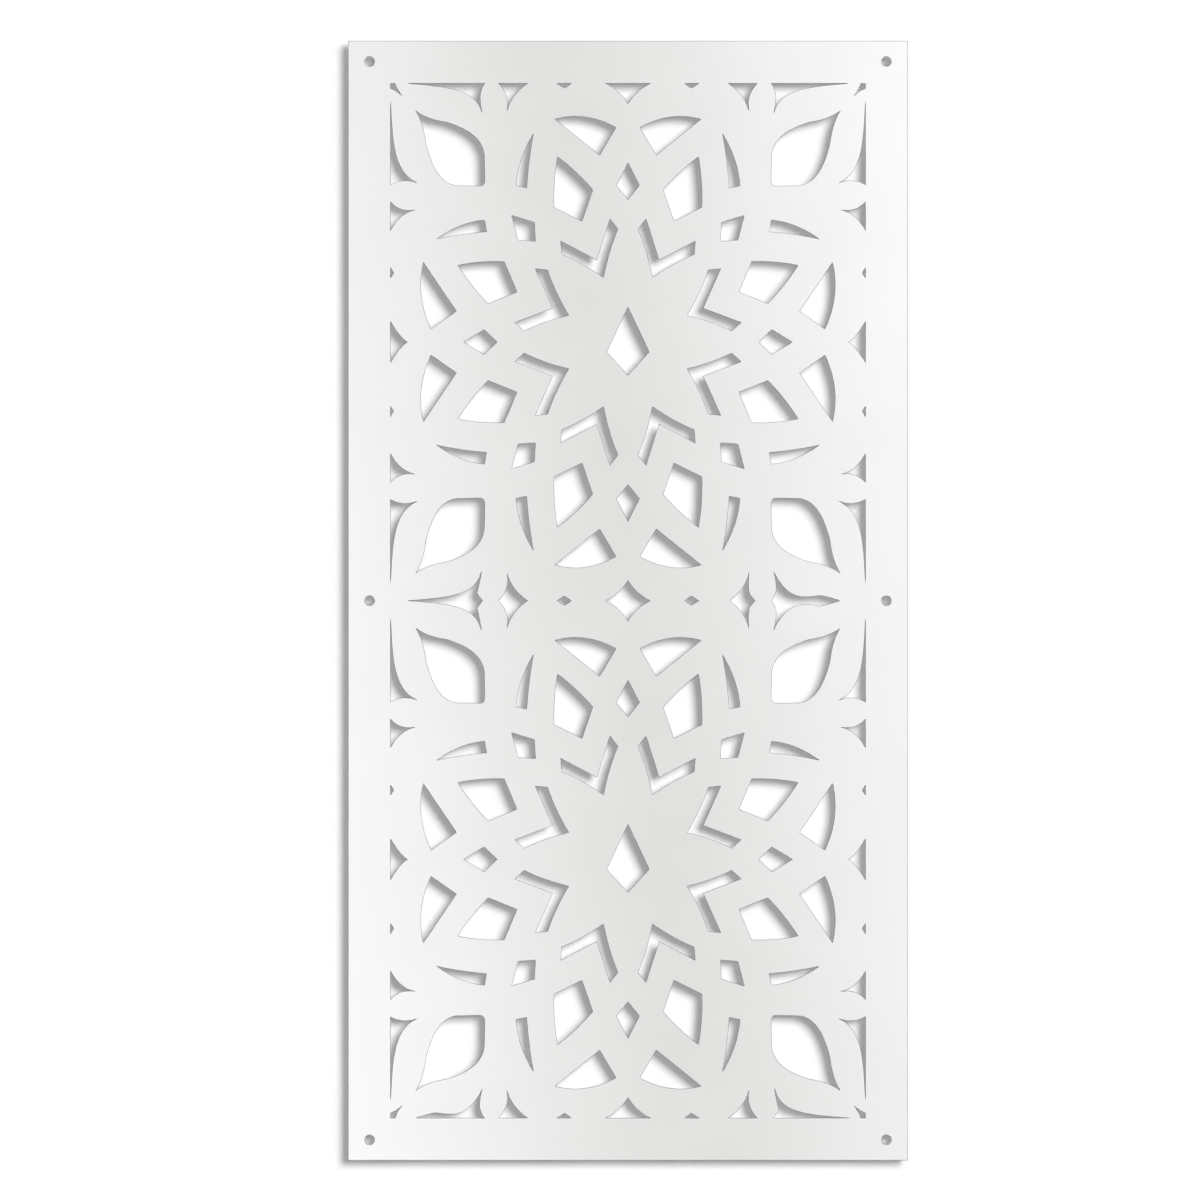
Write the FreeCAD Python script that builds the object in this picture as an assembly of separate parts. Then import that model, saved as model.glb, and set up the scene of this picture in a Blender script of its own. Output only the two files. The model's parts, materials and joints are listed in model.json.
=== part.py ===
import FreeCAD, Part
import math
import os

from FreeCAD import Vector

# A pierced white composite sheet that hangs clear of a wall on six sleeves.
# X runs to the right, Y into the wall and Z up, in millimetres.
# The origin lies on the wall, behind the middle of the sheet.

# Sheet
panel_width = 600.0
panel_height = 1200.0
border_width = 45.5
skin_thickness = 0.5
core_thickness = 3.0

# Screw holes
hole_diameter = 10.5
hole_side_inset = 23.0
hole_end_inset = 22.0

# Sleeves behind the screw holes
spacer_diameter = 20.0
spacer_length = 14.0
spacer_chamfer = 0.6

# Bonding rings between the sleeves and the sheet
bond_thickness = 1.0
bond_bore_setback = 0.75

# The pattern is two equal tiles, one above the other, inside the plain border
petal_count = 8
petal_angle = 360 / petal_count
tile_half_width = panel_width / 2 - border_width
tile_half_height = (panel_height / 2 - border_width) / 2
window_top = 2 * tile_half_height
lower_ring_drop_share = 0.015

# An outline is a list of runs. A run is its start and the poles that bend it, and it ends
# where the next run starts. All points are shares of the tile's half width and half height.

# Rosette shapes, drawn on the upright line through the tile's centre
bead_shares = [
    [(0, 0.692)],
    [(0.048, 0.606)],
    [(0, 0.5515)],
    [(-0.048, 0.606)],
]
kite_shares = [
    [(0, 0.775), (0.0536, 0.6927)],
    [(0.0876, 0.6006)],
    [(0, 0.5065)],
    [(-0.0876, 0.6006), (-0.0536, 0.6927)],
]
chevron_shares = [
    [(0, 0.2707), (0.0632, 0.362)],
    [(0.1275, 0.4195)],
    [(0.1123, 0.4687)],
    [(0, 0.342)],
    [(-0.1123, 0.4687)],
    [(-0.1275, 0.4195), (-0.0632, 0.362)],
]
centre_kite_shares = [
    [(0, 0.135)],
    [(0.089, -0.038)],
    [(0, -0.128)],
    [(-0.089, -0.038)],
]

# Shapes in the upper right quarter of the tile
petal_tip_shares = [
    [(0.0508, 0.8294), (0.179, 0.8943)],
    [(0.307, 0.8615)],
    [(0.1193, 0.7232)],
]
sliver_shares = [
    [(0.399, 0.804), (0.464, 0.705)],
    [(0.471, 0.6045)],
    [(0.427, 0.596), (0.42, 0.7)],
]
leaf_shares = [
    [(0.893, 0.893), (0.845, 0.86)],
    [(0.766, 0.8503), (0.69, 0.829), (0.613, 0.795)],
    [(0.6055, 0.722)],
    [(0.6035, 0.627), (0.6035, 0.6035)],
    [(0.627, 0.6035)],
    [(0.722, 0.6055), (0.795, 0.613), (0.829, 0.69)],
    [(0.8503, 0.766), (0.86, 0.845)],
]
corner_nick_shares = [
    [(0.981, 1)],
    [(1, 1)],
    [(1, 0.981), (0.9785, 0.9745)],
    [(0.9545, 0.9545), (0.9745, 0.9785)],
]
side_wedge_shares = [
    [(1, 0.916), (0.9915, 0.8), (0.995, 0.66)],
    [(0.892, 0.617), (0.93, 0.63), (0.97, 0.626)],
    [(1, 0.6086)],
]
side_spur_shares = [
    [(1, 0.5417), (0.9631, 0.502)],
    [(0.9018, 0.51), (0.9631, 0.4965)],
    [(1, 0.4326)],
]
side_notch_shares = [
    [(1, 0.287)],
    [(0.987, 0.267)],
    [(1, 0.249)],
]
side_point_shares = [
    [(1, 0.0785), (0.957, 0.012)],
    [(0.929, 0), (0.957, -0.012)],
    [(1, -0.0785)],
]

# Halves of the shapes along a tile's edge, from the edge inwards. The last run is one
# point, back on the edge.
edge_wedge_shares = [
    [(0.92, 0), (0.73, 0.015), (0.645, 0.027)],
    [(0.6155, 0.109), (0.6215, 0.08), (0.634, 0.035)],
    [(0.6035, 0)],
]
knobbed_wedge_shares = [
    [(0.9228, 0), (0.74, 0.012), (0.643, 0.022)],
    [(0.6185, 0.1102), (0.6255, 0.065)],
    [(0.637, 0.029)],
    [(0.613, 0)],
]
necked_wedge_shares = [
    [(0.892, 0), (0.843, 0.0145)],
    [(0.8078, 0.0205), (0.78, 0.0145)],
    [(0.745, 0.0145), (0.69, 0.012), (0.645, 0.053)],
    [(0.6151, 0.109), (0.6245, 0.08)],
    [(0.6255, 0.045), (0.62, 0.015)],
    [(0.6045, 0)],
]
edge_spur_shares = [
    [(0.5445, 0), (0.4975, 0.043)],
    [(0.5085, 0.1015), (0.488, 0.04)],
    [(0.4235, 0)],
]
knobbed_spur_shares = [
    [(0.535, 0)],
    [(0.512, 0.024), (0.504, 0.05)],
    [(0.5084, 0.1035), (0.4979, 0.0483)],
    [(0.4283, 0)],
]
edge_notch_shares = [
    [(0.2985, 0)],
    [(0.267, 0.018)],
    [(0.2395, 0)],
]
edge_point_shares = [
    [(0.0935, 0), (0.034, 0.0255)],
    [(0, 0.0785), (-0.034, 0.0255)],
    [(-0.0935, 0)],
]


def mirrored(outline, across, up):
    """The outline with its shares across and up multiplied by these signs."""
    return [[(u * across, v * up) for u, v in run] for run in outline]


def swapped(outline):
    """The outline mirrored about the tile's diagonal."""
    return [[(v, u) for u, v in run] for run in outline]


def turned(outline, degrees):
    """The outline turned about the tile's centre."""
    cosine = math.cos(math.radians(degrees))
    sine = math.sin(math.radians(degrees))
    return [[(u * cosine + v * sine, v * cosine - u * sine) for u, v in run] for run in outline]


def doubled(half):
    """The whole outline whose one half starts and ends on a tile's edge."""
    runs = half[:-1]
    ends = [run[0] for run in half[1:]]
    back = [[end] + run[:0:-1] for run, end in zip(runs, ends)]
    return runs + mirrored(back[::-1], 1, -1)


def run_edge(poles):
    """A straight edge between two poles, or a curve bent by the poles between its ends."""
    if len(poles) == 2:
        return Part.LineSegment(*poles).toShape()
    curve = Part.BezierCurve()
    curve.setPoles(poles)
    return curve.toShape()


def cutout_wire(outline, height):
    """The closed wire of an outline about a point at this height on the sheet's middle line."""
    edges = []
    for run, following in zip(outline, outline[1:] + outline[:1]):
        poles = [
            Vector(u * tile_half_width, 0, height + v * tile_half_height)
            for u, v in run + following[:1]
        ]
        edges.append(run_edge(poles))
    return Part.Wire(edges)


def rosette():
    """The outlines that turn about the centre of a tile."""
    outlines = [centre_kite_shares]
    for petal in range(petal_count):
        outlines.append(turned(bead_shares, petal * petal_angle))
        for shares in (kite_shares, chevron_shares):
            outlines.append(turned(shares, petal * petal_angle + petal_angle / 2))
    return outlines


def ring():
    """The outlines of the ring round a rosette."""
    outlines = []
    for across in (1, -1):
        for up in (1, -1):
            for shares in (petal_tip_shares, sliver_shares):
                outlines.append(mirrored(shares, across, up))
                outlines.append(mirrored(swapped(shares), across, up))
    return outlines


def sides():
    """The outlines near the left and right edges of a tile."""
    outlines = []
    for across in (1, -1):
        outlines.append(mirrored(side_point_shares, across, 1))
        for up in (1, -1):
            for shares in (leaf_shares, side_wedge_shares, side_spur_shares, side_notch_shares):
                outlines.append(mirrored(shares, across, up))
    return outlines


def seam():
    """The outlines across the line where the two tiles meet, which differ on the two sides."""
    outlines = [doubled(edge_point_shares)]
    for across in (1, -1):
        outlines.append(mirrored(doubled(edge_notch_shares), across, 1))
    for shares in (knobbed_wedge_shares, edge_spur_shares):
        outlines.append(mirrored(doubled(shares), -1, 1))
    for shares in (necked_wedge_shares, knobbed_spur_shares):
        outlines.append(doubled(shares))
    return outlines


def end_row(up, left_wedge_shares, right_wedge_shares):
    """The half outlines that the window's upper or lower edge cuts through."""
    outlines = [mirrored(edge_point_shares, 1, up)]
    for across, wedge_shares in ((-1, left_wedge_shares), (1, right_wedge_shares)):
        for shares in (wedge_shares, edge_spur_shares, edge_notch_shares):
            outlines.append(mirrored(shares, across, up))
    return outlines


def tile_wires(up, ring_drop_share):
    """The wires of the upper or the lower tile, whose ring may sit a little low."""
    centre = up * tile_half_height
    ring_centre = centre - ring_drop_share * tile_half_height
    nicks = [mirrored(corner_nick_shares, across, up) for across in (1, -1)]
    wires = [cutout_wire(outline, centre) for outline in rosette() + sides() + nicks]
    return wires + [cutout_wire(outline, ring_centre) for outline in ring()]


def pattern_wires():
    """All the wires of the pierced pattern."""
    top_row = end_row(-1, edge_wedge_shares, edge_wedge_shares)
    bottom_row = end_row(1, necked_wedge_shares, knobbed_wedge_shares)
    wires = tile_wires(1, 0) + tile_wires(-1, lower_ring_drop_share)
    for outlines, height in ((top_row, window_top), (seam(), 0), (bottom_row, -window_top)):
        wires += [cutout_wire(outline, height) for outline in outlines]
    return wires


def hole_places():
    """The name and centre of each screw hole, seen from the front."""
    across = panel_width / 2 - hole_side_inset
    up = panel_height / 2 - hole_end_inset
    columns = {"left": -across, "right": across}
    rows = {"top": up, "middle": 0, "bottom": -up}
    return {
        f"{row}_{column}": Vector(x, 0, z)
        for row, z in rows.items()
        for column, x in columns.items()
    }


def sheet_face():
    """The sheet's outline with every cut-out and screw hole, in the wall's plane."""
    corner = Vector(-panel_width / 2, 0, -panel_height / 2)
    outside = Part.makePlane(panel_width, panel_height, corner, Vector(0, -1, 0), Vector(1, 0, 0))
    holes = [
        Part.Wire(Part.makeCircle(hole_diameter / 2, place, Vector(0, 1, 0)))
        for place in hole_places().values()
    ]
    return outside.cut([Part.Face(wire) for wire in holes + pattern_wires()]).Faces[0]


def layer(face, rear, thickness):
    """One layer of the sheet, from its rear face forwards."""
    return face.translated(Vector(0, -rear, 0)).extrude(Vector(0, -thickness, 0))


def turned_ring(profile, place):
    """The ring that a profile of radii and distances from the wall makes round a hole's axis."""
    points = [place + Vector(radius, -distance, 0) for radius, distance in profile]
    section = Part.Face(Part.makePolygon(points + points[:1]))
    return section.revolve(place, Vector(0, 1, 0), 360)


def spacer(place):
    """A sleeve with broken outer edges, standing on the wall."""
    bore = hole_diameter / 2
    outside = spacer_diameter / 2
    flat = outside - spacer_chamfer
    profile = [
        (bore, 0),
        (flat, 0),
        (outside, spacer_chamfer),
        (outside, spacer_length - spacer_chamfer),
        (flat, spacer_length),
        (bore, spacer_length),
    ]
    return turned_ring(profile, place)


def bond_ring(place):
    """The bonding ring on the flat end of a sleeve."""
    inside = hole_diameter / 2 + bond_bore_setback
    outside = spacer_diameter / 2 - spacer_chamfer
    front = spacer_length + bond_thickness
    profile = [(inside, spacer_length), (outside, spacer_length), (outside, front), (inside, front)]
    return turned_ring(profile, place)


def build():
    """Every piece by the name of its node."""
    face = sheet_face()
    rear = spacer_length + bond_thickness
    pieces = {}
    for name, thickness in (
        ("rear_skin", skin_thickness),
        ("core", core_thickness),
        ("front_skin", skin_thickness),
    ):
        pieces[name] = layer(face, rear, thickness)
        rear += thickness
    for name, place in hole_places().items():
        pieces[f"spacer_{name}"] = spacer(place)
        pieces[f"bond_ring_{name}"] = bond_ring(place)
    return pieces


os.makedirs("parts", exist_ok=True)
for node, shape in build().items():
    print(node, shape.isValid(), len(shape.Solids), round(shape.Volume, 2))
    shape.exportStep(f"parts/{node}.step")
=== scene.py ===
import json
import logging
import math
from collections.abc import Iterator
from dataclasses import dataclass
from enum import Enum, IntEnum
from typing import Protocol

import bmesh
import bpy
from mathutils import Matrix, Vector


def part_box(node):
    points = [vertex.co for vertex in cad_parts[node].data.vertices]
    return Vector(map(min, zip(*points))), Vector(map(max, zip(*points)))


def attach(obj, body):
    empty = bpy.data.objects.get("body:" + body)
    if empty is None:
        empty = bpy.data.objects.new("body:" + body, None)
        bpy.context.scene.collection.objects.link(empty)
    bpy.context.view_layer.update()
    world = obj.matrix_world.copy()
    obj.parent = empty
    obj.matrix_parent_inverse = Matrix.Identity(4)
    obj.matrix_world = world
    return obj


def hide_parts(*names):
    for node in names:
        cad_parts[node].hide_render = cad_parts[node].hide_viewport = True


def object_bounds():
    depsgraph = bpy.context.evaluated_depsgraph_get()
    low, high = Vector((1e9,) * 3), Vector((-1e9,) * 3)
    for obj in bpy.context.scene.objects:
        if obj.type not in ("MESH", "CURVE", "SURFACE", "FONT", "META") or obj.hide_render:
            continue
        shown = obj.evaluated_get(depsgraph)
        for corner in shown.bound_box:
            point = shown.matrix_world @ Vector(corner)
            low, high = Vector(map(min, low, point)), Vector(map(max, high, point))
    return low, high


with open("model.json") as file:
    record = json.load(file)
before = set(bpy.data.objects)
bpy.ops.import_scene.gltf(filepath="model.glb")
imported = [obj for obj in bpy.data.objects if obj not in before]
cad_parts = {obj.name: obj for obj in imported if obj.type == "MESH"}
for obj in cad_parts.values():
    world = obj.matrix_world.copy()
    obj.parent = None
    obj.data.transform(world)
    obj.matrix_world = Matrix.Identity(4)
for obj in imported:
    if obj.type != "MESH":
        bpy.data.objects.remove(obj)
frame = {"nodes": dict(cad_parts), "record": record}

# A pierced white composite sheet that hangs clear of a wall on six sleeves. X runs to the right,
# Y into the wall and Z up, in metres. The wall's plane is at Y zero.

CAD_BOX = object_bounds()
BODY = "root"
LOG = logging.getLogger("pierced_panel")
MM = 0.001
CUBIC_SHARE = 2 / 3
SQUARE_CORNERS = 4
UNIT_SQUARE_RADIUS = math.sqrt(0.5)
UPRIGHT = Matrix.Rotation(math.pi / 2, 4, "X")

Point = tuple[float, float]
Colour = tuple[float, float, float, float]
Feeds = dict[str | int, object]

WHITE: Colour = (1.0, 1.0, 1.0, 1.0)


class Side(Enum):
    """The sides of the sheet, seen from the front."""

    LEFT = -1
    RIGHT = 1


class End(Enum):
    """The ends of the sheet."""

    LOWER = -1
    UPPER = 1


class Outward(Enum):
    """Which way a layer's open face looks, along Y."""

    FRONT = -1
    REAR = 1


class Zone(IntEnum):
    """The zones of a layer, numbered as its finishes are."""

    FACE = 0
    EDGE = 1
    ARRIS = 2


@dataclass(frozen=True)
class Outline:
    """A closed outline in shares of a tile's half width and half height.

    A run is its start and the poles that bend it, and it ends where the next run starts.
    """

    runs: list[list[Point]]

    def mirrored(self, across: int, up: int) -> "Outline":
        """The outline with its shares across and up multiplied by these signs."""
        return Outline([[(u * across, v * up) for u, v in run] for run in self.runs])

    def swapped(self) -> "Outline":
        """The outline mirrored about the tile's diagonal."""
        return Outline([[(v, u) for u, v in run] for run in self.runs])

    def turned(self, degrees: float) -> "Outline":
        """Turns the outline about the tile's centre.

        Args:
            degrees: The turn, clockwise seen from the front.

        Returns:
            The turned outline.
        """
        cosine = math.cos(math.radians(degrees))
        sine = math.sin(math.radians(degrees))
        return Outline(
            [[(u * cosine + v * sine, v * cosine - u * sine) for u, v in run] for run in self.runs]
        )

    def doubled(self) -> "Outline":
        """Adds the mirrored half to an outline that starts and ends on a tile's edge.

        Returns:
            The whole outline.
        """
        runs = self.runs[:-1]
        ends = [run[0] for run in self.runs[1:]]
        back = Outline([[end] + run[:0:-1] for run, end in zip(runs, ends)][::-1])
        return Outline(runs + back.mirrored(1, -1).runs)


# Rosette shapes, drawn on the upright line through the tile's centre
BEAD = Outline([[(0, 0.692)], [(0.048, 0.606)], [(0, 0.5515)], [(-0.048, 0.606)]])
KITE = Outline([
    [(0, 0.775), (0.0536, 0.6927)],
    [(0.0876, 0.6006)],
    [(0, 0.5065)],
    [(-0.0876, 0.6006), (-0.0536, 0.6927)],
])
CHEVRON = Outline([
    [(0, 0.2707), (0.0632, 0.362)],
    [(0.1275, 0.4195)],
    [(0.1123, 0.4687)],
    [(0, 0.342)],
    [(-0.1123, 0.4687)],
    [(-0.1275, 0.4195), (-0.0632, 0.362)],
])
CENTRE_KITE = Outline([[(0, 0.135)], [(0.089, -0.038)], [(0, -0.128)], [(-0.089, -0.038)]])

# Shapes in the upper right quarter of the tile
PETAL_TIP = Outline([
    [(0.0508, 0.8294), (0.179, 0.8943)],
    [(0.307, 0.8615)],
    [(0.1193, 0.7232)],
])
SLIVER = Outline([
    [(0.399, 0.804), (0.464, 0.705)],
    [(0.471, 0.6045)],
    [(0.427, 0.596), (0.42, 0.7)],
])
LEAF = Outline([
    [(0.893, 0.893), (0.845, 0.86)],
    [(0.766, 0.8503), (0.69, 0.829), (0.613, 0.795)],
    [(0.6055, 0.722)],
    [(0.6035, 0.627), (0.6035, 0.6035)],
    [(0.627, 0.6035)],
    [(0.722, 0.6055), (0.795, 0.613), (0.829, 0.69)],
    [(0.8503, 0.766), (0.86, 0.845)],
])
CORNER_NICK = Outline([
    [(0.981, 1)],
    [(1, 1)],
    [(1, 0.981), (0.9785, 0.9745)],
    [(0.9545, 0.9545), (0.9745, 0.9785)],
])
SIDE_WEDGE = Outline([
    [(1, 0.916), (0.9915, 0.8), (0.995, 0.66)],
    [(0.892, 0.617), (0.93, 0.63), (0.97, 0.626)],
    [(1, 0.6086)],
])
SIDE_SPUR = Outline([
    [(1, 0.5417), (0.9631, 0.502)],
    [(0.9018, 0.51), (0.9631, 0.4965)],
    [(1, 0.4326)],
])
SIDE_NOTCH = Outline([[(1, 0.287)], [(0.987, 0.267)], [(1, 0.249)]])
SIDE_POINT = Outline([
    [(1, 0.0785), (0.957, 0.012)],
    [(0.929, 0), (0.957, -0.012)],
    [(1, -0.0785)],
])

# Halves of the shapes along a tile's edge, from the edge inwards. The last run is one point,
# back on the edge.
EDGE_WEDGE = Outline([
    [(0.92, 0), (0.73, 0.015), (0.645, 0.027)],
    [(0.6155, 0.109), (0.6215, 0.08), (0.634, 0.035)],
    [(0.6035, 0)],
])
KNOBBED_WEDGE = Outline([
    [(0.9228, 0), (0.74, 0.012), (0.643, 0.022)],
    [(0.6185, 0.1102), (0.6255, 0.065)],
    [(0.637, 0.029)],
    [(0.613, 0)],
])
NECKED_WEDGE = Outline([
    [(0.892, 0), (0.843, 0.0145)],
    [(0.8078, 0.0205), (0.78, 0.0145)],
    [(0.745, 0.0145), (0.69, 0.012), (0.645, 0.053)],
    [(0.6151, 0.109), (0.6245, 0.08)],
    [(0.6255, 0.045), (0.62, 0.015)],
    [(0.6045, 0)],
])
EDGE_SPUR = Outline([
    [(0.5445, 0), (0.4975, 0.043)],
    [(0.5085, 0.1015), (0.488, 0.04)],
    [(0.4235, 0)],
])
KNOBBED_SPUR = Outline([
    [(0.535, 0)],
    [(0.512, 0.024), (0.504, 0.05)],
    [(0.5084, 0.1035), (0.4979, 0.0483)],
    [(0.4283, 0)],
])
EDGE_NOTCH = Outline([[(0.2985, 0)], [(0.267, 0.018)], [(0.2395, 0)]])
EDGE_POINT = Outline([
    [(0.0935, 0), (0.034, 0.0255)],
    [(0, 0.0785), (-0.034, 0.0255)],
    [(-0.0935, 0)],
])


@dataclass(frozen=True)
class PiercedPattern:
    """The cut-outs of two equal tiles, one above the other, inside a plain border."""

    half_width: float
    half_height: float
    petal_count: int = 8
    lower_ring_drop_share: float = 0.015
    steps_per_run: int = 16

    def rosette(self) -> list[Outline]:
        """Turns the rosette's shapes about the centre of a tile.

        Returns:
            The outlines of one rosette.
        """
        step = 360 / self.petal_count
        outlines = [CENTRE_KITE]
        for petal in range(self.petal_count):
            outlines.append(BEAD.turned(petal * step))
            outlines += [shape.turned((petal + 0.5) * step) for shape in (KITE, CHEVRON)]
        return outlines

    def ring(self) -> list[Outline]:
        """Mirrors the shapes of the ring round a rosette into every quarter.

        Returns:
            The outlines of one ring.
        """
        return [
            shape.mirrored(side.value, end.value)
            for side in Side
            for end in End
            for shape in (PETAL_TIP, PETAL_TIP.swapped(), SLIVER, SLIVER.swapped())
        ]

    def sides(self) -> list[Outline]:
        """Mirrors the shapes near the left and right edges of a tile.

        Returns:
            The outlines of both edges.
        """
        return [SIDE_POINT.mirrored(side.value, 1) for side in Side] + [
            shape.mirrored(side.value, end.value)
            for side in Side
            for end in End
            for shape in (LEAF, SIDE_WEDGE, SIDE_SPUR, SIDE_NOTCH)
        ]

    def seam(self) -> list[Outline]:
        """Lays out the shapes across the line where the tiles meet.

        Returns:
            The outlines, whose stars differ on the two sides.
        """
        stars = {Side.LEFT: (KNOBBED_WEDGE, EDGE_SPUR), Side.RIGHT: (NECKED_WEDGE, KNOBBED_SPUR)}
        return [EDGE_POINT.doubled()] + [
            shape.doubled().mirrored(side.value, 1)
            for side in Side
            for shape in (*stars[side], EDGE_NOTCH)
        ]

    def end_row(self, end: End) -> list[Outline]:
        """Lays out the half shapes that lie against the upper or the lower border.

        Args:
            end: Which of the two borders.

        Returns:
            The outlines about the middle of that border's inner edge.
        """
        wedges = {
            End.UPPER: {Side.LEFT: EDGE_WEDGE, Side.RIGHT: EDGE_WEDGE},
            End.LOWER: {Side.LEFT: NECKED_WEDGE, Side.RIGHT: KNOBBED_WEDGE},
        }
        return [EDGE_POINT.mirrored(1, -end.value)] + [
            shape.mirrored(side.value, -end.value)
            for side in Side
            for shape in (wedges[end][side], EDGE_SPUR, EDGE_NOTCH)
        ]

    def placed(self) -> Iterator[tuple[Outline, float]]:
        """Places the outlines of both tiles.

        Yields:
            Every outline, with the height of the point that it is drawn about.
        """
        rows = {End.UPPER: 0.0, End.LOWER: self.lower_ring_drop_share}
        for end, drop_share in rows.items():
            centre = end.value * self.half_height
            nicks = [CORNER_NICK.mirrored(side.value, end.value) for side in Side]
            for outline in self.rosette() + self.sides() + nicks:
                yield outline, centre
            for outline in self.ring():
                yield outline, centre - drop_share * self.half_height
            for outline in self.end_row(end):
                yield outline, 2 * centre
        for outline in self.seam():
            yield outline, 0.0

    def draw(self, curve: bpy.types.Curve, outline: Outline, height: float) -> None:
        """Adds one outline to a flat curve as a closed spline.

        Args:
            curve: The curve that takes the spline.
            outline: The outline, in shares of the tile.
            height: The height of the point that it is drawn about.
        """
        spline = curve.splines.new("BEZIER")
        spline.bezier_points.add(len(outline.runs) - 1)
        spline.use_cyclic_u = True
        knots = list(spline.bezier_points)
        runs = [
            [Vector((u * self.half_width, height + v * self.half_height, 0)) for u, v in run]
            for run in outline.runs
        ]
        for knot, run in zip(knots, runs):
            knot.co = run[0]
        for start, end, (first, *poles) in zip(knots, knots[1:] + knots[:1], runs):
            kind = "FREE" if poles else "VECTOR"
            start.handle_right_type = kind
            end.handle_left_type = kind
            if len(poles) == 1:
                poles = [first.lerp(poles[0], CUBIC_SHARE), end.co.lerp(poles[0], CUBIC_SHARE)]
            if poles:
                start.handle_right, end.handle_left = poles

    def wires(self) -> bpy.types.Mesh:
        """Turns the outlines into closed wires.

        Returns:
            A mesh of edges alone, flat in X and Y.
        """
        curve = bpy.data.curves.new("pattern", "CURVE")
        curve.dimensions = "2D"
        curve.fill_mode = "NONE"
        curve.resolution_u = self.steps_per_run
        for outline, height in self.placed():
            self.draw(curve, outline, height)
        holder = bpy.data.objects.new("pattern", curve)
        mesh = bpy.data.meshes.new_from_object(holder)
        bpy.data.objects.remove(holder)
        bpy.data.curves.remove(curve)
        return mesh


@dataclass(frozen=True)
class PiercedSheet:
    """The flat shape that the layers of the sheet share."""

    pattern: PiercedPattern
    width: float
    height: float
    hole_radius: float
    hole_centres: list[Vector]
    hole_segments: int = 72
    tip_blunting: float = 0.4 * MM
    tip_segments: int = 2
    tip_turn: float = math.radians(25)

    def filled(self) -> bmesh.types.BMesh:
        """Fills the sheet between its edge, its cut-outs and its screw holes.

        A cutter leaves no perfect point, so every corner of a cut-out is rounded a little.

        Returns:
            The flat shape, upright in the wall's plane, which looks to the front.
        """
        wires = self.pattern.wires()
        shape = bmesh.new()
        shape.from_mesh(wires)
        bpy.data.meshes.remove(wires)
        bmesh.ops.bevel(
            shape,
            geom=[vert for vert in shape.verts if vert.calc_edge_angle() > self.tip_turn],
            offset=self.tip_blunting,
            affect="VERTICES",
            segments=self.tip_segments,
            profile=0.5,
            material=-1,
        )
        edge = bmesh.ops.create_circle(shape, segments=SQUARE_CORNERS, radius=UNIT_SQUARE_RADIUS)
        bmesh.ops.rotate(
            shape, verts=edge["verts"], matrix=Matrix.Rotation(math.pi / SQUARE_CORNERS, 3, "Z")
        )
        bmesh.ops.scale(shape, verts=edge["verts"], vec=(self.width, self.height, 1))
        bmesh.ops.transform(shape, matrix=UPRIGHT, verts=shape.verts)
        for centre in self.hole_centres:
            bmesh.ops.create_circle(
                shape,
                segments=self.hole_segments,
                radius=self.hole_radius,
                matrix=Matrix.Translation(centre) @ UPRIGHT,
            )
        bmesh.ops.triangle_fill(
            shape, use_beauty=True, use_dissolve=False, edges=shape.edges, normal=(0, -1, 0)
        )
        return shape


class Finish(Protocol):
    """What a surface is dressed with."""

    @property
    def name(self) -> str:
        """The name of its material."""

    def material(self) -> bpy.types.Material:
        """Makes the material."""


class Nodes:
    """Adds nodes to one shader tree and feeds their sockets."""

    def __init__(self, tree: bpy.types.NodeTree) -> None:
        """Works on this tree."""
        self.tree = tree

    def add(self, kind: str, feeds: Feeds | None = None, **settings: object) -> bpy.types.Node:
        """Adds one node.

        Args:
            kind: The node's type, without its prefix.
            feeds: A value or an output socket for each input, by its name or place.
            settings: The node's own properties.

        Returns:
            The new node.
        """
        node = self.tree.nodes.new("ShaderNode" + kind)
        for name, value in settings.items():
            setattr(node, name, value)
        for name, value in (feeds or {}).items():
            if isinstance(value, bpy.types.NodeSocket):
                self.tree.links.new(value, node.inputs[name])
            else:
                node.inputs[name].default_value = value
        return node

    def blend(self, mask: bpy.types.NodeSocket, low: Colour, high: Colour) -> bpy.types.NodeSocket:
        """Mixes two colours.

        Args:
            mask: Where the second colour shows.
            low: The colour where the mask is zero.
            high: The colour where the mask is one.

        Returns:
            The mixed colour.
        """
        mix = self.add("Mix", data_type="RGBA")
        colours = [socket for socket in mix.inputs if socket.type == "RGBA"]
        colours[0].default_value = low
        colours[1].default_value = high
        self.tree.links.new(mask, mix.inputs[0])
        return next(socket for socket in mix.outputs if socket.type == "RGBA")

    def span(self, mask: bpy.types.NodeSocket, low: float, high: float) -> bpy.types.NodeSocket:
        """Spreads a mask between two values.

        Args:
            mask: The mask, from zero to one.
            low: The value where the mask is zero.
            high: The value where the mask is one.

        Returns:
            The spread value.
        """
        spread = self.add("MapRange", {"Value": mask, "To Min": low, "To Max": high})
        return spread.outputs["Result"]

    def bump(self, height: bpy.types.NodeSocket, depth: float) -> bpy.types.NodeSocket:
        """Turns a height into a normal.

        Args:
            height: The height, from zero to one.
            depth: The real depth of the relief.

        Returns:
            The normal.
        """
        relief = self.add("Bump", {"Height": height, "Strength": 1.0, "Distance": depth})
        return relief.outputs["Normal"]


# The values between which a noise mostly lies, and how many finer layers the effects have
NOISE_LOW = 0.3
NOISE_HIGH = 0.7
CLOUD_DETAIL = 2.0
CUTTER_DETAIL = 3.0


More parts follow.
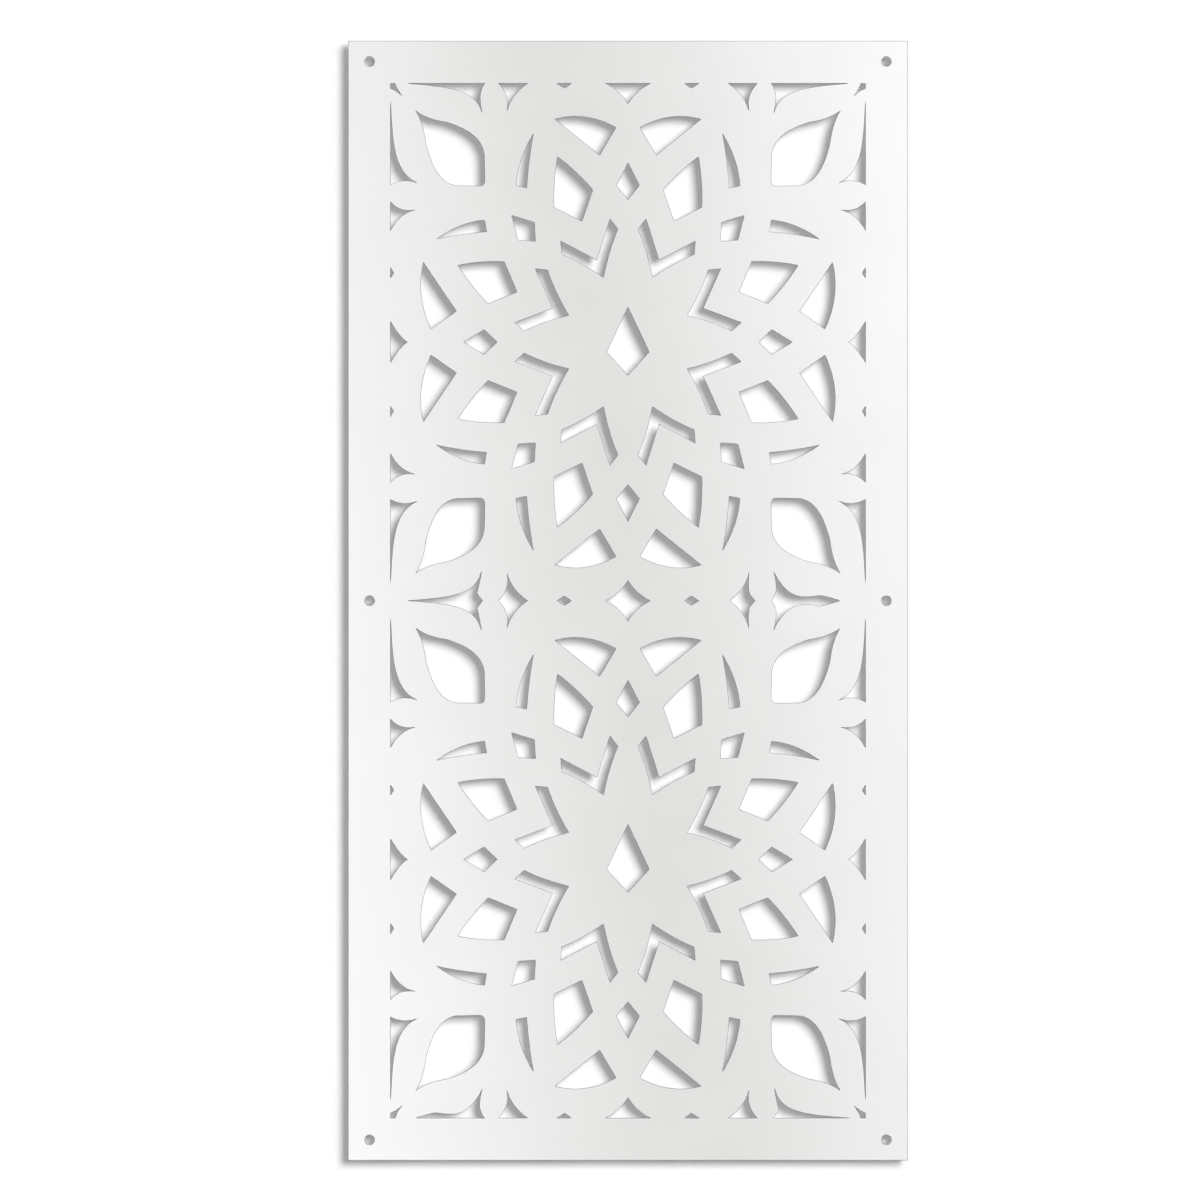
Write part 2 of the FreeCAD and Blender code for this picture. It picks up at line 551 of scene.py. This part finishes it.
class Effect(Enum):
    """The surface effects that several finishes share, as node groups."""

    CLOUDS = "soft_clouds"
    GRAIN = "fine_grain"
    CUTTER = "cutter_marks"

    def group(self) -> bpy.types.NodeTree:
        """Finds this effect's node group, or builds it.

        Returns:
            The group, with the input Size and the output Mask.
        """
        found = bpy.data.node_groups.get(self.value)
        if found:
            return found
        tree = bpy.data.node_groups.new(self.value, "ShaderNodeTree")
        tree.interface.new_socket("Size", in_out="INPUT", socket_type="NodeSocketFloat")
        tree.interface.new_socket("Mask", in_out="OUTPUT", socket_type="NodeSocketFloat")
        nodes = Nodes(tree)
        entry = tree.nodes.new("NodeGroupInput")
        leave = tree.nodes.new("NodeGroupOutput")
        scale = nodes.add("Math", {0: 1.0, 1: entry.outputs["Size"]}, operation="DIVIDE")
        place = nodes.add("TexCoord").outputs["Object"]
        builders = {
            Effect.CLOUDS: self.clouds,
            Effect.GRAIN: self.grain,
            Effect.CUTTER: self.cutter,
        }
        mask = builders[self](nodes, place, scale.outputs[0])
        tree.links.new(mask, leave.inputs["Mask"])
        return tree

    @staticmethod
    def noise(
        nodes: Nodes, place: bpy.types.NodeSocket, scale: bpy.types.NodeSocket, detail: float
    ) -> bpy.types.NodeSocket:
        """Adds a noise whose middle is spread from zero to one.

        Args:
            nodes: The tree that takes it.
            place: Where the noise is read.
            scale: How many lumps there are to the metre.
            detail: How many finer layers it has.

        Returns:
            The spread noise.
        """
        lumps = nodes.add("TexNoise", {"Vector": place, "Scale": scale, "Detail": detail})
        spread = nodes.add(
            "MapRange", {"Value": lumps.outputs[0], "From Min": NOISE_LOW, "From Max": NOISE_HIGH}
        )
        return spread.outputs["Result"]

    @staticmethod
    def clouds(
        nodes: Nodes, place: bpy.types.NodeSocket, scale: bpy.types.NodeSocket
    ) -> bpy.types.NodeSocket:
        """Wide soft patches, as in a rolled coat."""
        return Effect.noise(nodes, place, scale, CLOUD_DETAIL)

    @staticmethod
    def grain(
        nodes: Nodes, place: bpy.types.NodeSocket, scale: bpy.types.NodeSocket
    ) -> bpy.types.NodeSocket:
        """Adds small even lumps, as in the skin of a paint film.

        Args:
            nodes: The tree that takes them.
            place: Where the lumps are read.
            scale: How many lumps there are to the metre.

        Returns:
            The distance from the middle of each lump.
        """
        lumps = nodes.add(
            "TexVoronoi", {"Vector": place, "Scale": scale, "Smoothness": 1.0}, feature="SMOOTH_F1"
        )
        return lumps.outputs["Distance"]

    @staticmethod
    def cutter(
        nodes: Nodes, place: bpy.types.NodeSocket, scale: bpy.types.NodeSocket
    ) -> bpy.types.NodeSocket:
        """Lines across a cut edge, the same through its whole thickness."""
        flat = nodes.add("VectorMath", {0: place, 1: (1.0, 0.0, 1.0)}, operation="MULTIPLY")
        return Effect.noise(nodes, flat.outputs[0], scale, CUTTER_DETAIL)

    def mask(self, nodes: Nodes, size: float) -> bpy.types.NodeSocket:
        """Places the effect in a material.

        Args:
            nodes: The material's nodes.
            size: The width of one patch, lump or line.

        Returns:
            The effect's mask.
        """
        placed = nodes.add("Group", node_tree=self.group())
        placed.inputs["Size"].default_value = size
        return placed.outputs["Mask"]


def new_material(name: str) -> tuple[bpy.types.Material, Nodes]:
    """Starts an empty material.

    Args:
        name: The material's name.

    Returns:
        The material and its nodes.
    """
    made = bpy.data.materials.new(name)
    made.use_nodes = True
    made.node_tree.nodes.clear()
    return made, Nodes(made.node_tree)


def finish_with(nodes: Nodes, feeds: Feeds) -> None:
    """Ends a material in one principled shader.

    Args:
        nodes: The material's nodes.
        feeds: The shader's inputs.
    """
    shader = nodes.add("BsdfPrincipled", feeds)
    nodes.add("OutputMaterial", {"Surface": shader.outputs["BSDF"]})


@dataclass(frozen=True)
class WhiteCoat:
    """The satin white coat of the front skin."""

    name: str = "satin_white_coat"
    light: Colour = (0.758, 0.757, 0.74, 1.0)
    dark: Colour = (0.744, 0.742, 0.725, 1.0)
    patch: float = 120 * MM
    lump: float = 1.4 * MM
    lump_depth: float = 0.004 * MM
    roughness: tuple[float, float] = (0.14, 0.17)

    def material(self) -> bpy.types.Material:
        """Makes a faintly clouded white with the even skin of a paint film.

        Returns:
            The material.
        """
        made, nodes = new_material(self.name)
        clouds = Effect.CLOUDS.mask(nodes, self.patch)
        lumps = Effect.GRAIN.mask(nodes, self.lump)
        finish_with(nodes, {
            "Base Color": nodes.blend(clouds, self.dark, self.light),
            "Roughness": nodes.span(clouds, *self.roughness),
            "Normal": nodes.bump(lumps, self.lump_depth),
        })
        return made


@dataclass(frozen=True)
class CutEdge:
    """A sawn edge with the cutter's marks across it."""

    name: str
    light: Colour
    dark: Colour
    metallic: float
    roughness: tuple[float, float]
    mark: float = 0.5 * MM
    mark_depth: float = 0.01 * MM

    def material(self) -> bpy.types.Material:
        """Makes a colour with fine lines across the edge.

        Returns:
            The material.
        """
        made, nodes = new_material(self.name)
        marks = Effect.CUTTER.mask(nodes, self.mark)
        finish_with(nodes, {
            "Base Color": nodes.blend(marks, self.dark, self.light),
            "Metallic": self.metallic,
            "Roughness": nodes.span(marks, *self.roughness),
            "Normal": nodes.bump(marks, self.mark_depth),
        })
        return made


CUT_ALUMINIUM = CutEdge(
    name="cut_aluminium",
    light=(0.55, 0.55, 0.556, 1.0),
    dark=(0.4, 0.4, 0.405, 1.0),
    metallic=0.8,
    roughness=(0.35, 0.5),
)
# Painted shade: a near-black line on the front arris that stays dark even where the key light falls
# on it, standing in for a shaded edge line
PAINTED_SHADE_EDGE = CutEdge(
    name="painted_shade_edge",
    light=(0.09, 0.09, 0.091, 1.0),
    dark=(0.05, 0.05, 0.051, 1.0),
    metallic=0.0,
    roughness=(0.6, 0.75),
)
CUT_CORE = CutEdge(
    name="cut_core",
    light=(0.16, 0.16, 0.165, 1.0),
    dark=(0.07, 0.07, 0.073, 1.0),
    metallic=0.0,
    roughness=(0.5, 0.75),
)


@dataclass(frozen=True)
class RearWash:
    """The thin grey wash over the rear skin, with the streaks of the roller."""

    name: str = "streaked_grey_wash"
    light: Colour = (0.63, 0.64, 0.64, 1.0)
    dark: Colour = (0.41, 0.42, 0.425, 1.0)
    patch: float = 70 * MM
    streak: float = 4 * MM
    streak_stretch: float = 50.0
    streak_detail: float = 4.0
    lump: float = 1.1 * MM
    lump_depth: float = 0.004 * MM
    metallic: float = 0.5
    roughness: tuple[float, float] = (0.3, 0.45)

    def material(self) -> bpy.types.Material:
        """Makes a clouded grey with long upright streaks.

        Returns:
            The material.
        """
        made, nodes = new_material(self.name)
        place = nodes.add("TexCoord").outputs["Object"]
        along = nodes.add(
            "VectorMath", {0: place, 1: (1.0, 1.0, 1 / self.streak_stretch)}, operation="MULTIPLY"
        )
        streaks = nodes.add(
            "TexNoise",
            {"Vector": along.outputs[0], "Scale": 1 / self.streak, "Detail": self.streak_detail},
        )
        clouds = Effect.CLOUDS.mask(nodes, self.patch)
        both = nodes.add("Math", {0: streaks.outputs[0], 1: clouds}, operation="MULTIPLY")
        finish_with(nodes, {
            "Base Color": nodes.blend(both.outputs[0], self.dark, self.light),
            "Metallic": self.metallic,
            "Roughness": nodes.span(streaks.outputs[0], *self.roughness),
            "Normal": nodes.bump(Effect.GRAIN.mask(nodes, self.lump), self.lump_depth),
        })
        return made


@dataclass(frozen=True)
class TurnedMetal:
    """Bare aluminium from a lathe, with the tool's rings."""

    ring_attribute: str
    name: str = "turned_aluminium"
    light: Colour = (0.6, 0.6, 0.61, 1.0)
    dark: Colour = (0.46, 0.46, 0.468, 1.0)
    patch: float = 6 * MM
    ring: float = 0.35 * MM
    ring_depth: float = 0.006 * MM
    metallic: float = 1.0
    roughness: tuple[float, float] = (0.24, 0.4)

    def material(self) -> bpy.types.Material:
        """Makes a clouded metal with fine rings along the tool's travel.

        Returns:
            The material.
        """
        made, nodes = new_material(self.name)
        travel = nodes.add("Attribute", attribute_name=self.ring_attribute).outputs["Fac"]
        turns = nodes.add("Math", {0: travel, 1: math.tau / self.ring}, operation="MULTIPLY")
        waves = nodes.add("Math", {0: turns.outputs[0]}, operation="SINE")
        rings = nodes.add("MapRange", {"Value": waves.outputs[0], "From Min": -1.0})
        clouds = Effect.CLOUDS.mask(nodes, self.patch)
        finish_with(nodes, {
            "Base Color": nodes.blend(clouds, self.dark, self.light),
            "Metallic": self.metallic,
            "Roughness": nodes.span(clouds, *self.roughness),
            "Normal": nodes.bump(rings.outputs["Result"], self.ring_depth),
        })
        return made


@dataclass(frozen=True)
class FoamPad:
    """The open foam of a bonding ring."""

    name: str = "bonding_foam"
    light: Colour = (0.2, 0.2, 0.205, 1.0)
    dark: Colour = (0.1, 0.1, 0.104, 1.0)
    pore: float = 0.4 * MM
    pore_depth: float = 0.08 * MM
    roughness: tuple[float, float] = (0.75, 0.95)

    def material(self) -> bpy.types.Material:
        """Makes a dull dark grey full of pores.

        Returns:
            The material.
        """
        made, nodes = new_material(self.name)
        pores = Effect.GRAIN.mask(nodes, self.pore)
        finish_with(nodes, {
            "Base Color": nodes.blend(pores, self.dark, self.light),
            "Roughness": nodes.span(pores, *self.roughness),
            "Normal": nodes.bump(pores, self.pore_depth),
        })
        return made


def new_piece(name: str, shape: bmesh.types.BMesh, finishes: list[Finish]) -> bpy.types.Object:
    """Makes an object of a finished shape.

    Args:
        name: The piece's name.
        shape: The shape, which is freed.
        finishes: Its finishes, in the order of its faces' material numbers.

    Returns:
        The object, at the origin.
    """
    mesh = bpy.data.meshes.new(name)
    shape.to_mesh(mesh)
    shape.free()
    for finish in finishes:
        found = bpy.data.materials.get(finish.name)
        mesh.materials.append(found or finish.material())
    piece = bpy.data.objects.new(name, mesh)
    bpy.context.scene.collection.objects.link(piece)
    return piece


def stand_for(piece: bpy.types.Object, node: str, slot: str) -> None:
    """Puts a piece in the place of a node.

    Args:
        piece: The new piece.
        node: The node that it stands for.
        slot: The record's material slot; not used.
    """
    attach(piece, BODY)
    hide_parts(node)


@dataclass(frozen=True)
class SheetLayer:
    """One bonded layer of the sheet, whose open face may have a rounded edge."""

    node: str
    name: str
    slot: str
    outward: Outward
    face: Finish
    edge: Finish
    broken_edge: Finish
    arris: float = 0.0
    arris_shares: tuple[Point, ...] = ((0.3, 0.7), (0.7, 0.3))
    smooth_angle: float = math.radians(20)

    def build(self, sheet: PiercedSheet) -> bpy.types.Object:
        """Thickens the sheet's flat shape into this layer.

        Args:
            sheet: The flat shape.

        Returns:
            The layer, in the place of its node.
        """
        low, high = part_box(self.node)
        inner, outer = (high.y, low.y) if self.outward is Outward.FRONT else (low.y, high.y)
        shape = sheet.filled()
        bmesh.ops.translate(shape, verts=shape.verts, vec=(0, inner, 0))
        grown = bmesh.ops.extrude_face_region(shape, geom=shape.faces[:], use_keep_orig=True)
        rise = [item for item in grown["geom"] if isinstance(item, bmesh.types.BMVert)]
        open_faces = [item for item in grown["geom"] if isinstance(item, bmesh.types.BMFace)]
        step = outer - inner - self.outward.value * self.arris
        bmesh.ops.translate(shape, verts=rise, vec=(0, step, 0))
        bmesh.ops.recalc_face_normals(shape, faces=shape.faces)
        for face in shape.faces:
            face.material_index = Zone.EDGE
        for face in self.round_edge(shape, open_faces):
            face.material_index = Zone.ARRIS
        for face in open_faces:
            face.material_index = Zone.FACE
        for vert in {vert for face in open_faces for vert in face.verts}:
            vert.co.y = outer
        for face in shape.faces:
            face.smooth = True
        piece = new_piece(self.name, shape, [self.face, self.edge, self.broken_edge])
        piece.data.set_sharp_from_angle(angle=self.smooth_angle)
        stand_for(piece, self.node, self.slot)
        return piece

    def round_edge(
        self, shape: bmesh.types.BMesh, open_faces: list[bmesh.types.BMFace]
    ) -> list[bmesh.types.BMFace]:
        """Rounds the edge of the open face, if the layer has an arris.

        Args:
            shape: The layer's shape.
            open_faces: The faces that look outward.

        Returns:
            The faces of the arris.
        """
        rounded = []
        for across_share, along_share in self.arris_shares if self.arris else ():
            step = bmesh.ops.inset_region(
                shape,
                faces=open_faces,
                thickness=across_share * self.arris,
                depth=along_share * self.arris,
                use_even_offset=True,
                use_boundary=True,
            )
            rounded += step["faces"]
        return rounded


@dataclass(frozen=True)
class TurnedRing:
    """A ring about a screw hole's axis, spun from its section."""

    node: str
    name: str
    slot: str
    bore_radius: float
    finish: Finish
    edge_break: float
    steps: int = 96
    edge_segments: int = 2
    edge_turn: float = math.radians(30)
    ring_attribute: str = "tool_travel"

    def section(self, low: Vector, high: Vector) -> list[Point]:
        """The radii and depths of the section's corners.

        Args:
            low: The lowest corner of the node's box.
            high: The highest corner of the node's box.

        Returns:
            The corners, from the front of the bore round the outside to its rear.
        """
        outside = (high.x - low.x) / 2
        return [
            (self.bore_radius, low.y),
            (outside, low.y),
            (outside, high.y),
            (self.bore_radius, high.y),
        ]

    def build(self) -> bpy.types.Object:
        """Spins the section about the hole's axis.

        Returns:
            The ring, in the place of its node.
        """
        low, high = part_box(self.node)
        axis_point = Vector(((low.x + high.x) / 2, 0, (low.z + high.z) / 2))
        shape = bmesh.new()
        travel = shape.verts.layers.float.new(self.ring_attribute)
        corners = []
        distance = 0.0
        for radius, depth in self.section(low, high):
            corner = shape.verts.new(axis_point + Vector((radius, depth, 0)))
            distance += (corner.co - corners[-1].co).length if corners else 0
            corner[travel] = distance
            corners.append(corner)
        for first, second in zip(corners, corners[1:] + corners[:1]):
            shape.edges.new((first, second))
        bmesh.ops.spin(
            shape,
            geom=shape.verts[:] + shape.edges[:],
            cent=axis_point,
            axis=(0, 1, 0),
            angle=math.tau,
            steps=self.steps,
            use_merge=True,
        )
        bmesh.ops.recalc_face_normals(shape, faces=shape.faces)
        bmesh.ops.bevel(
            shape,
            geom=[edge for edge in shape.edges if edge.calc_face_angle(0.0) > self.edge_turn],
            offset=self.edge_break,
            affect="EDGES",
            segments=self.edge_segments,
            profile=0.5,
            material=-1,
        )
        for face in shape.faces:
            face.smooth = True
        piece = new_piece(self.name, shape, [self.finish])
        piece.data.set_sharp_from_angle(angle=self.edge_turn)
        stand_for(piece, self.node, self.slot)
        return piece


@dataclass(frozen=True)
class Sleeve(TurnedRing):
    """A stand-off sleeve, whose outer edges are chamfered."""

    chamfer: float = 0.6 * MM

    def section(self, low: Vector, high: Vector) -> list[Point]:
        """The radii and depths of the section's corners.

        Args:
            low: The lowest corner of the node's box.
            high: The highest corner of the node's box.

        Returns:
            The corners, from the front of the bore round the outside to its rear.
        """
        outside = (high.x - low.x) / 2
        return [
            (self.bore_radius, low.y),
            (outside - self.chamfer, low.y),
            (outside, low.y + self.chamfer),
            (outside, high.y - self.chamfer),
            (outside - self.chamfer, high.y),
            (self.bore_radius, high.y),
        ]


def seen_directly(nodes: Nodes) -> bpy.types.NodeSocket:
    """Marks what is looked at, and not what only throws light.

    Args:
        nodes: The tree of the material or the world.

    Returns:
        One for camera, mirror and glass rays, and zero for the others.
    """
    path = nodes.add("LightPath").outputs
    plain = nodes.add(
        "Math", {0: path["Is Camera Ray"], 1: path["Is Glossy Ray"]}, operation="MAXIMUM"
    )
    seen = nodes.add(
        "Math", {0: plain.outputs[0], 1: path["Is Transmission Ray"]}, operation="MAXIMUM"
    )
    return seen.outputs[0]


@dataclass(frozen=True)
class StagePlane:
    """A plain pale plane that keeps the shadows and shows from one side alone."""

    name: str
    place: Matrix
    colour: Colour
    glow: float
    half: float = 6.0

    def material(self) -> bpy.types.Material:
        """Makes a matte colour that glows a little where it is looked at.

        Returns:
            The material.
        """
        made, nodes = new_material(self.name)
        strength = nodes.span(seen_directly(nodes), 0.0, self.glow)
        matte = nodes.add("BsdfDiffuse", {"Color": self.colour})
        glow = nodes.add("Emission", {"Strength": strength})
        lit = nodes.add("AddShader", {0: matte.outputs[0], 1: glow.outputs[0]})
        clear = nodes.add("BsdfTransparent")
        behind = nodes.add("NewGeometry").outputs["Backfacing"]
        one_sided = nodes.add("MixShader", {0: behind, 1: lit.outputs[0], 2: clear.outputs[0]})
        nodes.add("OutputMaterial", {"Surface": one_sided.outputs[0]})
        return made

    def build(self) -> None:
        """Adds the plane, which throws no light or shadow on the object."""
        shape = bmesh.new()
        bmesh.ops.create_grid(
            shape, x_segments=1, y_segments=1, size=self.half, matrix=self.place
        )
        plane = new_piece(self.name, shape, [self])
        plane.visible_diffuse = False
        plane.visible_glossy = False
        plane.visible_shadow = False


@dataclass(frozen=True)
class SheenCard:
    """A card in front of the sheet that only its gloss sees, dark along a leaning line."""

    name: str = "sheen_card"
    distance: float = 1.0
    half_width: float = 0.46
    half_height: float = 0.8
    lean: float = 0.13
    rise: float = 15.0
    colour: Colour = (1.0, 1.0, 1.1, 1.0)

    def material(self) -> bpy.types.Material:
        """Makes a glow that rises evenly to both sides of the leaning line.

        Returns:
            The material.
        """
        made, nodes = new_material(self.name)
        place = nodes.add("SeparateXYZ", {0: nodes.add("TexCoord").outputs["Object"]}).outputs
        across = nodes.add(
            "Math", {0: place["Z"], 1: self.lean, 2: place["X"]}, operation="MULTIPLY_ADD"
        )
        away = nodes.add("Math", {0: across.outputs[0]}, operation="ABSOLUTE")
        strength = nodes.add("Math", {0: away.outputs[0], 1: self.rise}, operation="MULTIPLY")
        glow = nodes.add("Emission", {"Color": self.colour, "Strength": strength.outputs[0]})
        nodes.add("OutputMaterial", {"Surface": glow.outputs[0]})
        return made

    def build(self) -> None:
        """Adds the card."""
        shape = bmesh.new()
        bmesh.ops.create_grid(
            shape,
            x_segments=1,
            y_segments=1,
            size=1.0,
            matrix=Matrix.Translation((0, -self.distance, 0))
            @ UPRIGHT
            @ Matrix.Diagonal((self.half_width, self.half_height, 1, 1)),
        )
        card = new_piece(self.name, shape, [self])
        card.visible_camera = False
        card.visible_diffuse = False
        card.visible_shadow = False


@dataclass(frozen=True)
class SoftSun:
    """A distant soft lamp, given by the way its light travels."""

    name: str
    travel: tuple[float, float, float]
    level: float
    spread: float

    def build(self) -> None:
        """Adds the lamp, whose level is what it adds to a white that faces it along Y."""
        lamp = bpy.data.lights.new(self.name, "SUN")
        direction = Vector(self.travel).normalized()
        lamp.angle = self.spread
        lamp.energy = self.level * math.pi / abs(direction.y)
        holder = bpy.data.objects.new(self.name, lamp)
        holder.rotation_mode = "QUATERNION"
        holder.rotation_quaternion = direction.to_track_quat("-Z", "Y")
        bpy.context.scene.collection.objects.link(holder)


@dataclass(frozen=True)
class Studio:
    """The wall, the floor, the light and the camera."""

    wall_gap: float = 0.5 * MM
    wall_white: Colour = (0.93, 0.93, 0.93, 1.0)
    wall_glow: float = 0.08
    floor_depth: float = 1.45
    floor_white: Colour = (0.85, 0.85, 0.845, 1.0)
    floor_glow: float = 0.3
    key: SoftSun = SoftSun("key", (-8.6, 19.5, -6.0), 0.7, math.radians(27))
    rear_fill: SoftSun = SoftSun("rear_fill", (0.5, -1.0, -0.6), 0.06, math.radians(60))
    ambient: float = 0.3
    seen_white: float = 1.0
    lens: float = 600.0
    sensor: float = 36.0
    far_clip: float = 100.0
    frame_width: float = 1286.4 * MM
    camera_shift: float = -30.0 * MM
    camera_rise: float = 0.75 * MM

    def world(self) -> None:
        """Sets an even light all round, which the camera sees as white."""
        world = bpy.data.worlds.new("studio")
        world.use_nodes = True
        world.node_tree.nodes.clear()
        nodes = Nodes(world.node_tree)
        strength = nodes.span(seen_directly(nodes), self.ambient, self.seen_white)
        light = nodes.add("Background", {"Color": WHITE, "Strength": strength})
        nodes.add("OutputWorld", {"Surface": light.outputs[0]})
        bpy.context.scene.world = world

    def camera(self) -> None:
        """Adds the camera, square to the sheet."""
        lens = bpy.data.cameras.new("camera")
        lens.sensor_width = self.sensor
        lens.lens = self.lens
        lens.clip_end = self.far_clip
        camera = bpy.data.objects.new("camera", lens)
        reach = self.frame_width * self.lens / self.sensor
        camera.location = (self.camera_shift, CAD_BOX[0].y - reach, self.camera_rise)
        camera.rotation_euler = (math.pi / 2, 0, 0)
        bpy.context.scene.collection.objects.link(camera)
        bpy.context.scene.camera = camera

    def build(self) -> None:
        """Adds everything round the object."""
        wall_place = Matrix.Translation((0, self.wall_gap, 0)) @ UPRIGHT
        floor_place = Matrix.Translation((0, 0, -self.floor_depth))
        StagePlane("wall", wall_place, self.wall_white, self.wall_glow).build()
        StagePlane("floor", floor_place, self.floor_white, self.floor_glow).build()
        SheenCard().build()
        self.key.build()
        self.rear_fill.build()
        self.world()
        self.camera()
        bpy.context.scene.view_settings.view_transform = "Standard"


@dataclass(frozen=True)
class PiercedPanel:
    """The whole panel: a bonded sheet of three layers on six sleeves."""

    border_width: float = 45.5 * MM
    bond_setback: float = 0.75 * MM
    front_arris: float = 0.4 * MM
    rear_arris: float = 0.15 * MM
    sleeve_edge: float = 0.12 * MM
    pad_edge: float = 0.2 * MM

    def places(self) -> list[str]:
        """The names of the screw holes' places."""
        return sorted(node[len("spacer_"):] for node in frame["nodes"] if node.startswith("spacer_"))

    def hole_radius(self) -> float:
        """The radius of the screw holes, from the record."""
        mounts = {mount["name"]: mount for mount in frame["record"]["mounts"]}
        return mounts["corner_holes"]["dims"]["hole_r_mm"] * MM

    def sheet(self) -> PiercedSheet:
        """Works out the sheet's flat shape from the frame.

        Returns:
            The flat shape.
        """
        low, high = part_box("front_skin")
        pattern = PiercedPattern(
            half_width=high.x - self.border_width, half_height=(high.z - self.border_width) / 2
        )
        boxes = [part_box(f"spacer_{place}") for place in self.places()]
        centres = [(first + second) / 2 for first, second in boxes]
        return PiercedSheet(
            pattern=pattern,
            width=high.x - low.x,
            height=high.z - low.z,
            hole_radius=self.hole_radius(),
            hole_centres=[Vector((centre.x, 0, centre.z)) for centre in centres],
        )

    def layers(self) -> list[SheetLayer]:
        """Gives each layer of the sheet its node, its finishes and its edge.

        Returns:
            The three layers, from the front.
        """
        return [
            SheetLayer(
                node="front_skin",
                name="front_sheet",
                slot="white_coat",
                outward=Outward.FRONT,
                face=WhiteCoat(),
                edge=CUT_ALUMINIUM,
                # The front arris carries the painted shade line
                broken_edge=PAINTED_SHADE_EDGE,
                arris=self.front_arris,
            ),
            SheetLayer(
                node="core",
                name="core_sheet",
                slot="core",
                outward=Outward.FRONT,
                face=CUT_CORE,
                edge=CUT_CORE,
                broken_edge=CUT_CORE,
            ),
            SheetLayer(
                node="rear_skin",
                name="rear_sheet",
                slot="rear_wash",
                outward=Outward.REAR,
                face=RearWash(),
                edge=CUT_ALUMINIUM,
                broken_edge=CUT_ALUMINIUM,
                arris=self.rear_arris,
            ),
        ]

    def rings(self) -> Iterator[TurnedRing]:
        """Gives each screw hole its two rings.

        Yields:
            The sleeve and then the bonding ring of each hole.
        """
        bore = self.hole_radius()
        for place in self.places():
            yield Sleeve(
                node=f"spacer_{place}",
                name=f"sleeve_{place}",
                slot="sleeve",
                bore_radius=bore,
                finish=TurnedMetal(TurnedRing.ring_attribute),
                edge_break=self.sleeve_edge,
            )
            yield TurnedRing(
                node=f"bond_ring_{place}",
                name=f"pad_{place}",
                slot="bond",
                bore_radius=bore + self.bond_setback,
                finish=FoamPad(),
                edge_break=self.pad_edge,
            )

    def build(self) -> list[bpy.types.Object]:
        """Builds and dresses every piece.

        Returns:
            The pieces, in the order in which they are built.
        """
        sheet = self.sheet()
        layers = [layer.build(sheet) for layer in self.layers()]
        return layers + [ring.build() for ring in self.rings()]


def main() -> None:
    """Builds the panel and its studio."""
    logging.basicConfig(level=logging.INFO, format="%(message)s")
    for piece in PiercedPanel().build():
        LOG.info("%s has %d faces", piece.name, len(piece.data.polygons))
    Studio().build()


if __name__ == "__main__":
    main()
